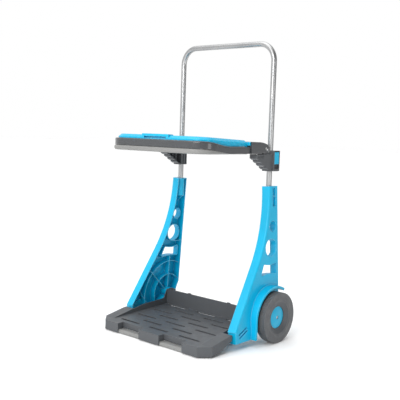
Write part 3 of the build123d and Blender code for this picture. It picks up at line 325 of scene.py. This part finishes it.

# %% [markdown]
# ## Dressing the CAD pieces
# Each CAD node takes one finish. Listing the nodes by material keeps the choice in one place, and a
# node that is left out shows up at once because every name is counted at the end.

# %% Give every CAD node its finish
finish_of = {
    "left_side_panel": blue_plastic, "right_side_panel": blue_plastic,
    "left_hub_cap": blue_plastic, "right_hub_cap": blue_plastic,
    "left_clamp_lever": blue_plastic, "right_clamp_lever": blue_plastic,
    "lid_panel": lid_plastic,
    "tray": dark_plastic, "left_bracket": dark_plastic, "right_bracket": dark_plastic,
    "left_hub": dark_plastic, "right_hub": dark_plastic,
    "ring_frame": frame_plastic, "left_ring_arm": frame_plastic, "right_ring_arm": frame_plastic,
    "bag_ring": light_plastic, "skid_bar": light_plastic,
    "tray_bushes": bearing_plastic, "left_wheel_bush": bearing_plastic, "right_wheel_bush": bearing_plastic,
    "left_clamp_pad": bearing_plastic, "right_clamp_pad": bearing_plastic,
    "left_tyre": grey_tyre, "right_tyre": grey_tyre,
    "handle_tube": silver_tube,
}
for name, node in cad_nodes.items():
    node.data.materials.clear()
    node.data.materials.append(finish_of.get(name, zinc_steel))
print("dressed", len(cad_nodes), "nodes,", len(cad_nodes) - len(finish_of), "of them in plated steel")

# %% [markdown]
# ## The tyres
# Each tyre is a ring with two rows of fine grooves across its tread, a small round at its outer corner,
# a larger one towards the panel, and a nearly flat side with a low bead near the hub. It could be spun
# from a drawn section, but a cylinder is quicker: its tread faces are already in a row, so every second
# one can be sunk to make a groove, and its end faces can be inset ring by ring to draw the side. The
# two rows are half a groove apart. A ring below is its width, then how far the surface inside it moves out.

# %% Sizes of the tyre
tyre_low, tyre_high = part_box("right_tyre")
tyre_radius = (tyre_high.z - tyre_low.z) / 2
axle_y = (tyre_low.y + tyre_high.y) / 2
axle_z = (tyre_low.z + tyre_high.z) / 2
tyre_width = tyre_high.x - tyre_low.x
tyre_middle = (tyre_low.x + tyre_high.x) / 2
TREAD_FACES = 148
HUB_SEAT = 0.0581  # radius of the hole that takes the hub
GROOVE_DEPTH = 0.0024
GROOVE_TAPER = 0.00035  # the groove's floor is this much smaller than its mouth on each side
OUTER_ROUND = 0.0022
INNER_ROUND = 0.0086
ROW_GAP = 0.0012  # half of the plain band between the two rows
GROOVE_IN, GROOVE_OUT = -0.0112, 0.0178  # where the rows end, from the tyre's middle
NEAR = 1e-4
OUTER_RINGS = [(0.0030, 0.0), (0.0100, -0.0002), (0.0095, -0.0003),
               (0.0010, 0.0005), (0.0016, 0.0), (0.0010, -0.0006)]
INNER_RINGS = [(0.0095, 0.0), (0.0100, -0.0012)]
OUTER_SEAT_MOVE, INNER_SEAT_MOVE = -0.0004, -0.0008
print("tyre radius", round(tyre_radius, 4), "width", round(tyre_width, 4))


# %% Model one tyre
def to_axle(place):
    """Distance of a point from the axle's line."""
    return math.hypot(place.y - axle_y, place.z - axle_z)


def open_side(tyre, end_x, outward, rings, seat_move):
    """Insets the end face ring by ring down to the hub's seat, then opens what is left."""
    pick_faces(tyre, lambda place, normal: abs(place.x - end_x) < NEAR and normal.x * outward > 0.9)
    left_over = tyre_radius - HUB_SEAT - sum(width for width, move in rings)
    for width, move in rings + [(left_over, seat_move)]:
        bpy.ops.mesh.inset(thickness=width)
        bpy.ops.transform.translate(value=(move * outward, 0.0, 0.0))
    bpy.ops.mesh.delete(type="FACE")


def round_corner(tyre, end_x, radius):
    """Rounds the corner between the tread and one side."""
    def on_corner(a, b):
        return all(abs(end.x - end_x) < NEAR and to_axle(end) > tyre_radius - NEAR for end in (a, b))

    pick_edges(tyre, on_corner)
    bpy.ops.mesh.bevel(offset=radius, segments=4, profile=0.5, affect="EDGES")


def sink_grooves(tyre, middle, side):
    """Cuts the tread at the rows' ends, then sinks every second face of each row."""
    bpy.ops.mesh.select_mode(type="FACE")
    for cut in (GROOVE_IN, -ROW_GAP, ROW_GAP, GROOVE_OUT):
        bpy.ops.mesh.select_all(action="SELECT")
        bpy.ops.mesh.bisect(plane_co=(middle + side * cut, 0.0, 0.0), plane_no=(1.0, 0.0, 0.0))
    bpy.ops.object.mode_set(mode="OBJECT")

    def in_groove(place, normal):
        across = side * (place.x - middle)
        if to_axle(place) < tyre_radius - 2 * NEAR:
            return False
        if abs(across) < ROW_GAP or not GROOVE_IN < across < GROOVE_OUT:
            return False
        step = round(math.atan2(place.z - axle_z, place.y - axle_y) / math.tau * TREAD_FACES - 0.5)
        return (step + (across > 0)) % 2 == 0

    grooves = pick_faces(tyre, in_groove)
    bpy.ops.mesh.inset(thickness=GROOVE_TAPER, depth=-GROOVE_DEPTH, use_individual=True)
    return grooves


def make_tyre(name, side):
    """One tyre: a ring opened from a cylinder, rounded, then grooved."""
    clear_selection()
    bpy.ops.mesh.primitive_cylinder_add(
        vertices=TREAD_FACES, radius=tyre_radius, depth=tyre_width, end_fill_type="NGON",
        location=(side * tyre_middle, axle_y, axle_z), rotation=(0.0, math.pi / 2, 0.0),
    )
    tyre = bpy.context.object
    tyre.name = name
    at_origin(tyre)
    middle = side * tyre_middle
    outer_x = middle + side * tyre_width / 2
    inner_x = middle - side * tyre_width / 2
    open_side(tyre, outer_x, side, OUTER_RINGS, OUTER_SEAT_MOVE)
    open_side(tyre, inner_x, -side, INNER_RINGS, INNER_SEAT_MOVE)
    bpy.ops.mesh.select_mode(type="EDGE")
    bpy.ops.mesh.select_all(action="DESELECT")
    bpy.ops.mesh.select_non_manifold(extend=False)
    bpy.ops.mesh.bridge_edge_loops()
    round_corner(tyre, outer_x, OUTER_ROUND)
    round_corner(tyre, inner_x, INNER_ROUND)
    grooves = sink_grooves(tyre, middle, side)
    bpy.ops.mesh.select_all(action="SELECT")
    bpy.ops.mesh.remove_doubles(threshold=1e-6)
    bpy.ops.mesh.normals_make_consistent(inside=False)
    bpy.ops.object.mode_set(mode="OBJECT")
    bpy.ops.object.shade_smooth_by_angle(angle=math.radians(32))
    tyre.data.materials.clear()
    tyre.data.materials.append(grey_tyre)
    print(name, "grooves", grooves, "faces", len(tyre.data.polygons))
    return tyre


# %% Fit both tyres
for side_name, side in (("left", -1), ("right", 1)):
    tyre = make_tyre("treaded_tyre_" + side_name, side)
    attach(tyre, side_name + "_wheel")
    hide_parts(side_name + "_tyre")

# %% [markdown]
# ## Floor and light
# The cart stands on a plain pale floor in soft, even light, as in a small product studio: a large
# softbox at the front, a small one beside the camera, a weak one low on the right and one overhead. A
# wide ceiling light keeps the far floor as bright as the near floor. The world looks white everywhere,
# but what it gives off is weaker towards +X, so that the panels' outer faces keep their deep colour.

# %% Floor
clear_selection()
bpy.ops.mesh.primitive_plane_add(size=60.0, location=(0.0, 0.0, 0.0))
floor = bpy.context.object
floor.name = "studio_floor"
floor_look = Finish("pale_floor")
floor_drift = floor_look.spread(floor_look.noise(2.0, 2.0), 0.0, 1.0)
floor_tone = floor_look.blend(floor_drift, (0.96, 0.96, 0.96), (0.98, 0.98, 0.98))
floor_look.link(floor_tone, floor_look.shader.inputs["Base Color"])
floor_look.shader.inputs["Roughness"].default_value = 0.9
floor.data.materials.append(floor_look.material)


# %% Softboxes
def softbox(name, place, aim, width, height, power):
    """A rectangular area light that faces a point."""
    light = bpy.data.lights.new(name, "AREA")
    light.shape = "RECTANGLE"
    light.size = width
    light.size_y = height
    light.energy = power
    lamp = bpy.data.objects.new(name, light)
    bpy.context.scene.collection.objects.link(lamp)
    lamp.location = place
    lamp.rotation_euler = (Vector(aim) - Vector(place)).to_track_quat("-Z", "Y").to_euler()


softbox("softbox_front", (0.7, -3.4, 1.8), (0.0, 0.0, 0.45), 1.8, 1.4, 52.0)
softbox("softbox_beside_camera", (1.5, -3.0, 1.5), (0.0, 0.0, 0.6), 0.5, 0.5, 9.0)
softbox("softbox_right", (2.6, -0.2, 0.7), (-0.25, 0.0, 0.3), 0.7, 1.2, 8.0)
softbox("softbox_overhead", (-0.4, 0.2, 3.0), (0.0, 0.0, 0.3), 2.4, 2.4, 14.0)

# %% Ceiling light and world
ceiling = bpy.data.lights.new("ceiling_light", "SUN")
ceiling.energy = 1.0
ceiling.angle = math.radians(60)
ceiling_lamp = bpy.data.objects.new("ceiling_light", ceiling)
ceiling_lamp.rotation_euler = (math.radians(30), 0.0, math.radians(-15))
bpy.context.scene.collection.objects.link(ceiling_lamp)
world = bpy.data.worlds.new("studio_air")
world.use_nodes = True
air = world.node_tree
direction = air.nodes.new("ShaderNodeTexCoord")
parts = air.nodes.new("ShaderNodeSeparateXYZ")
dim = air.nodes.new("ShaderNodeMapRange")
for name, value in (("From Min", 0.0), ("From Max", 0.7), ("To Min", 1.0), ("To Max", 0.25)):
    dim.inputs[name].default_value = value
air.links.new(direction.outputs["Generated"], parts.inputs["Vector"])
air.links.new(parts.outputs["X"], dim.inputs["Value"])
seen = air.nodes.new("ShaderNodeLightPath")
brighter = air.nodes.new("ShaderNodeMath")
brighter.operation = "MAXIMUM"
air.links.new(dim.outputs["Result"], brighter.inputs[0])
air.links.new(seen.outputs["Is Camera Ray"], brighter.inputs[1])
air.links.new(brighter.outputs["Value"], air.nodes["Background"].inputs["Strength"])
air.nodes["Background"].inputs["Color"].default_value = (1.0, 1.0, 1.0, 1.0)
bpy.context.scene.world = world
bpy.context.scene.view_settings.view_transform = "Standard"
print("studio ready")

# %% [markdown]
# ## Camera
# The camera stands in front and to the right of the cart at about waist height, looking slightly down.
# Its direction is given by three angles: how far it is turned from straight ahead, how far it looks
# down, and a small roll.

# %% Camera
CAMERA_PLACE = Vector((1.659, -1.878, 0.739))
TURN, DIP, ROLL = math.radians(40.89), math.radians(-5.71), math.radians(1.9)
ahead = Vector((-math.sin(TURN) * math.cos(DIP), math.cos(TURN) * math.cos(DIP), math.sin(DIP)))
level_right = Vector((math.cos(TURN), math.sin(TURN), 0.0))
level_up = level_right.cross(ahead)
right = level_right * math.cos(ROLL) + level_up * math.sin(ROLL)
up = level_up * math.cos(ROLL) - level_right * math.sin(ROLL)
lens = bpy.data.cameras.new("studio_camera")
lens.sensor_width = 36.0
lens.lens = 62.586
camera = bpy.data.objects.new("studio_camera", lens)
bpy.context.scene.collection.objects.link(camera)
turn = Matrix((right, up, -ahead)).transposed()
camera.matrix_world = Matrix.Translation(CAMERA_PLACE) @ turn.to_4x4()
bpy.context.scene.camera = camera
print("camera looks along", [round(part, 3) for part in ahead])
